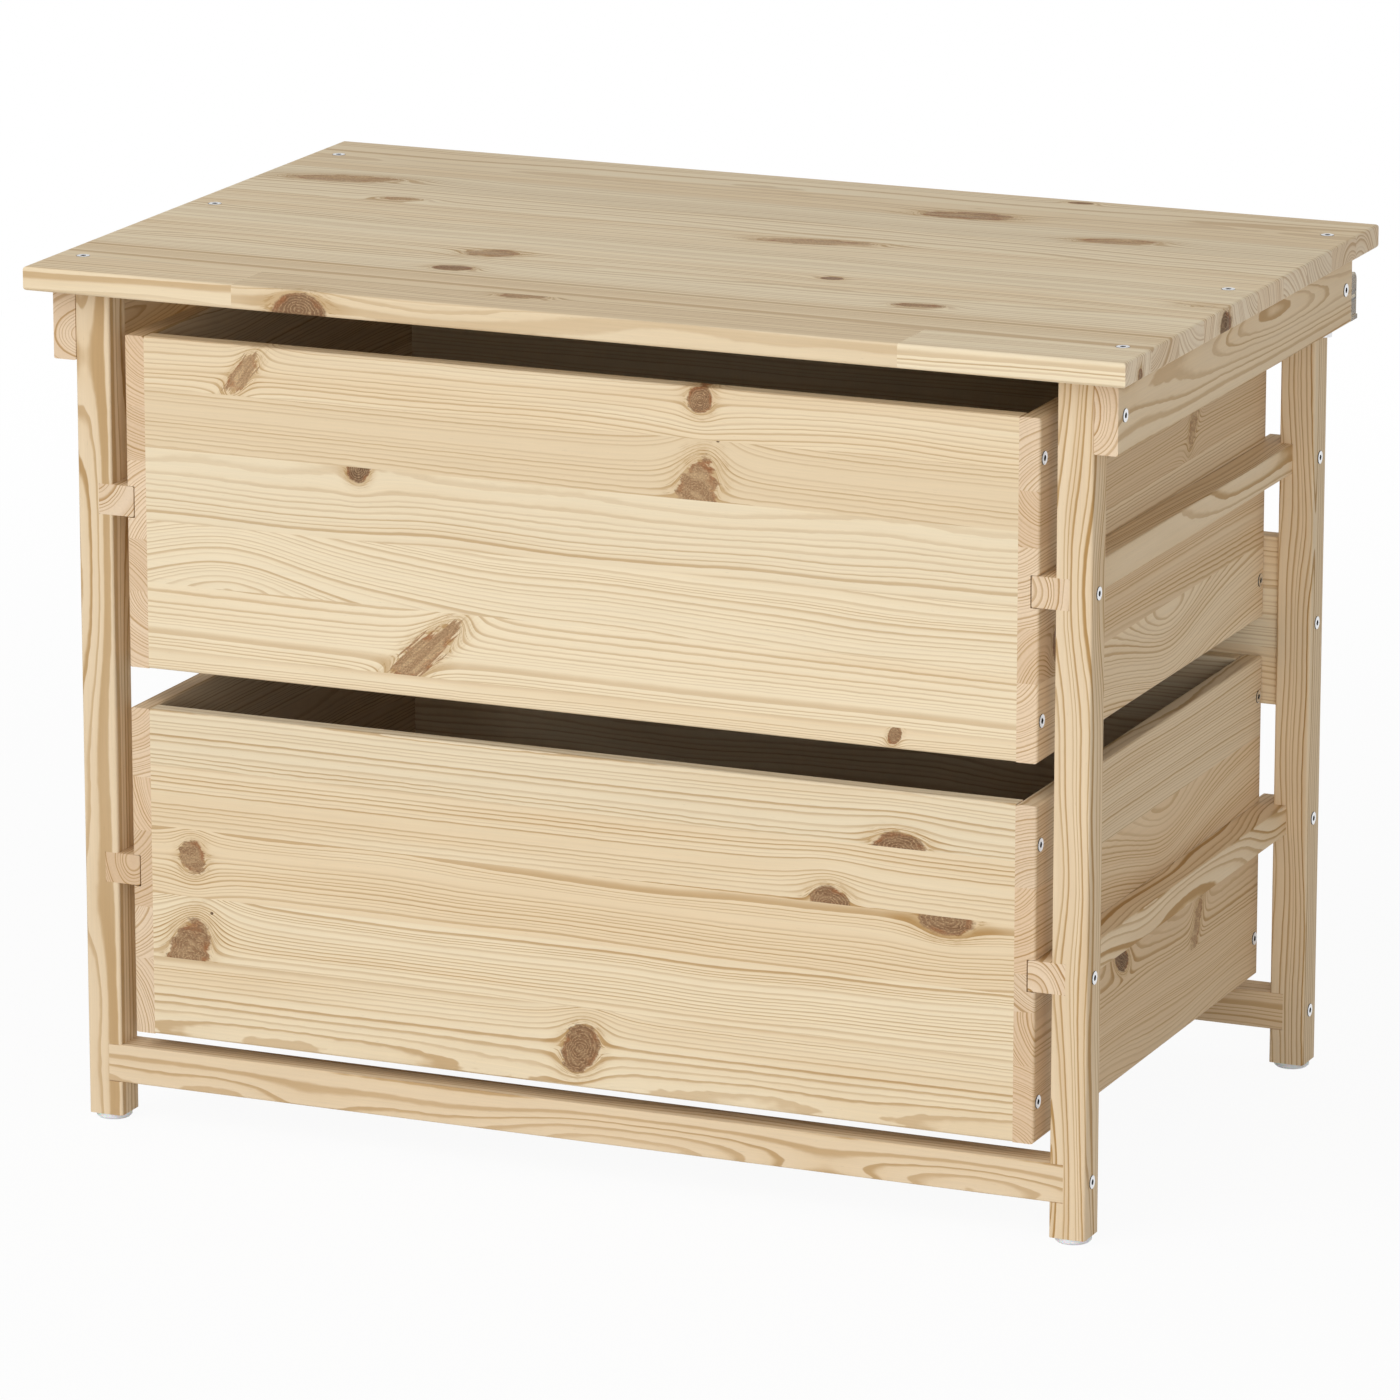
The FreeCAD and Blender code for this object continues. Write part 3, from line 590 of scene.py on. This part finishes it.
def finish_drawers():
    for level in ("lower", "upper"):
        left, right, back = (f"{level}_drawer_{place}" for place in ("left_side", "right_side", "back"))
        Timber(left, "Y", "Z", SIDE, SIDE_JOINTS, seed=LEFT_SIDE_SEEDS[level])
        Timber(
            right, "Y", "Z", SIDE, RIGHT_SIDE_JOINTS[level],
            knots=RIGHT_SIDE_KNOTS[level], eyes=RIGHT_SIDE_EYES[level], seed=RIGHT_SIDE_SEEDS[level],
        )
        Timber(back, "X", "Z", PANEL, SIDE_JOINTS, seed=DRAWER_BACK_SEEDS[level])
    Timber(
        "upper_drawer_front", "X", "Z", PANEL, UPPER_FRONT_JOINTS,
        knots=UPPER_FRONT_KNOTS, eyes=UPPER_FRONT_EYES, seed=UPPER_FRONT_SEED,
    )
    Timber(
        "lower_drawer_front", "X", "Z", STRONG_PANEL, LOWER_FRONT_JOINTS,
        knots=LOWER_FRONT_KNOTS, seed=LOWER_FRONT_SEED,
    )


def finish_fittings():
    """Screws, bolts, feet, wall anchors and drawer bottoms."""
    zinc(*(name for name in chest if name.endswith(("_screws", "_bolts"))))
    milky_plastic(*(name for name in chest if name.endswith("_foot")))
    clear_plastic(*(name for name in chest if name.endswith("_anchor")))
    hardboard(*(name for name in chest if name.endswith("_drawer_bottom")))


# Stage, in metres. The floor shows this share of plain white near the chest, and all white past its shadow.
FLOOR_REACH = 20.0
FLOOR_GREY = (0.82, 0.82, 0.82, 1)
WHITE_NEAR = 0.94
SHADOW_REACH = (0.6, 3.0)
SKY_LEVEL = 0.53
AIM_HEIGHT = 0.33

# A soft light's turn from the front and lift in degrees, distance and size in metres, and power in watts
Softbox = namedtuple("Softbox", "turn lift distance size power")
SOFTBOXES = {
    "key_light": Softbox(-26, 41, 6.5, 4.5, 180),
    "fill_light": Softbox(32, 10, 6.5, 2.4, 86),
}

# The camera's place in metres, its angles in degrees down from level and round from the front, and its lens
CAMERA_PLACE = (2.4262, -5.6669, 1.8892)
CAMERA_DOWN = 14.402
CAMERA_TURN = 23.240
LENS_MM = 217.46
SENSOR_MM = 36.0


def seen_directly(bench):
    """1 where the camera sees something straight, in a reflection or through clear plastic."""
    path = bench.add("ShaderNodeLightPath", {}, {})
    rays = [Wire(bench, path.outputs[f"Is {kind} Ray"]) for kind in ("Camera", "Glossy", "Transmission")]
    return functools.reduce(functools.partial(bench.math, "MAXIMUM"), rays)


def make_floor():
    """A pale floor that shows as white paper and keeps the chest's shadow."""
    mesh = bpy.data.meshes.new("floor")
    r = FLOOR_REACH
    mesh.from_pydata([(-r, -r, 0), (r, -r, 0), (r, r, 0), (-r, r, 0)], [], [(0, 1, 2, 3)])
    floor = bpy.data.objects.new("floor", mesh)
    bpy.context.scene.collection.objects.link(floor)
    finish = Finish("floor_paper", Base_Color=FLOOR_GREY, Roughness=0.9)
    distance = finish.vector("LENGTH", finish.coordinates(), output="Value")
    whiteness = seen_directly(finish) * finish.rise(distance, *SHADOW_REACH, WHITE_NEAR, 1)
    white = finish.node("ShaderNodeEmission", {}, {})
    paper = finish.node("ShaderNodeMixShader", {}, {"Fac": whiteness, 1: finish.shader, 2: white})
    finish.connect(finish.output.inputs["Surface"], paper)
    mesh.materials.append(finish.material)


def make_sky():
    """Even studio light all round, white where it is seen."""
    world = bpy.data.worlds.new("studio")
    world.use_nodes = True
    bpy.context.scene.world = world
    sky = Bench(world.node_tree)
    strength = SKY_LEVEL + seen_directly(sky) * (1 - SKY_LEVEL)
    background = sky.node("ShaderNodeBackground", {}, {"Strength": strength})
    sky.add("ShaderNodeOutputWorld", {}, {"Surface": background})


def make_softbox(name, light):
    """A square soft light that faces the middle of the chest."""
    lamp = bpy.data.lights.new(name, "AREA")
    lamp.size = light.size
    lamp.energy = light.power
    box = bpy.data.objects.new(name, lamp)
    bpy.context.scene.collection.objects.link(box)
    turn, lift = math.radians(light.turn), math.radians(light.lift)
    level_distance = light.distance * math.cos(lift)
    box.location = (
        level_distance * math.sin(turn),
        -level_distance * math.cos(turn),
        AIM_HEIGHT + light.distance * math.sin(lift),
    )
    box.rotation_euler = (math.pi / 2 - lift, 0, turn)


def make_camera():
    lens = bpy.data.cameras.new("camera")
    lens.sensor_width = SENSOR_MM
    lens.lens = LENS_MM
    camera = bpy.data.objects.new("camera", lens)
    camera.location = CAMERA_PLACE
    camera.rotation_euler = (math.radians(90 - CAMERA_DOWN), 0, math.radians(CAMERA_TURN))
    bpy.context.scene.collection.objects.link(camera)
    bpy.context.scene.camera = camera


finish_frame()
finish_drawers()
finish_fittings()
make_floor()
make_sky()
for name, light in SOFTBOXES.items():
    make_softbox(name, light)
make_camera()
bpy.context.scene.view_settings.view_transform = "Standard"
